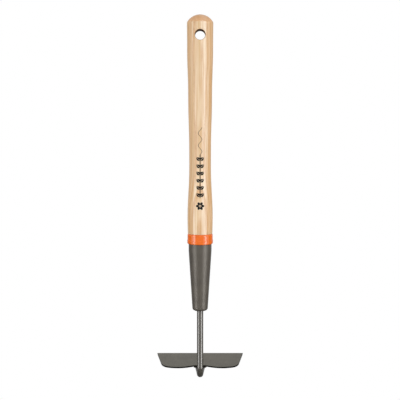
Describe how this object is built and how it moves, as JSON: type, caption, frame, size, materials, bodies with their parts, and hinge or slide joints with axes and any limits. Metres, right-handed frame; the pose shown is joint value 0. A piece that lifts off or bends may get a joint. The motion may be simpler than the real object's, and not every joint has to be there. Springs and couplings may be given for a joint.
{
  "type": "hand hoe",
  "caption": "Short-handled draw hoe: turned wooden grip with a hanging hole, plastic collar, conical steel ferrule, bent rod neck and a flat winged blade for weeding and drawing furrows.",
  "frame": {"origin": "centre of the hanging hole, on the handle's axis", "axes": "+Z along the handle towards the butt, +Y along the hanging hole and the way the blade reaches, X across the blade"},
  "size_m": [0.1144, 0.0816, 0.4581],
  "materials": {
    "lacquered_ash": "clear lacquered turned ash with open grain",
    "orange_plastic": "glossy injection-moulded orange plastic",
    "grey_enamel": "semi-gloss dark grey powder enamel",
    "bare_weld": "rough unpainted weld metal inside the ferrule"
  },
  "bodies": {
    "root": {"handle": "lacquered_ash", "collar": "orange_plastic", "ferrule": "grey_enamel", "neck": "grey_enamel", "blade": "grey_enamel", "blade_weld": "grey_enamel", "retaining_pin": "grey_enamel", "ferrule_weld": "bare_weld"}
  },
  "joints": []
}
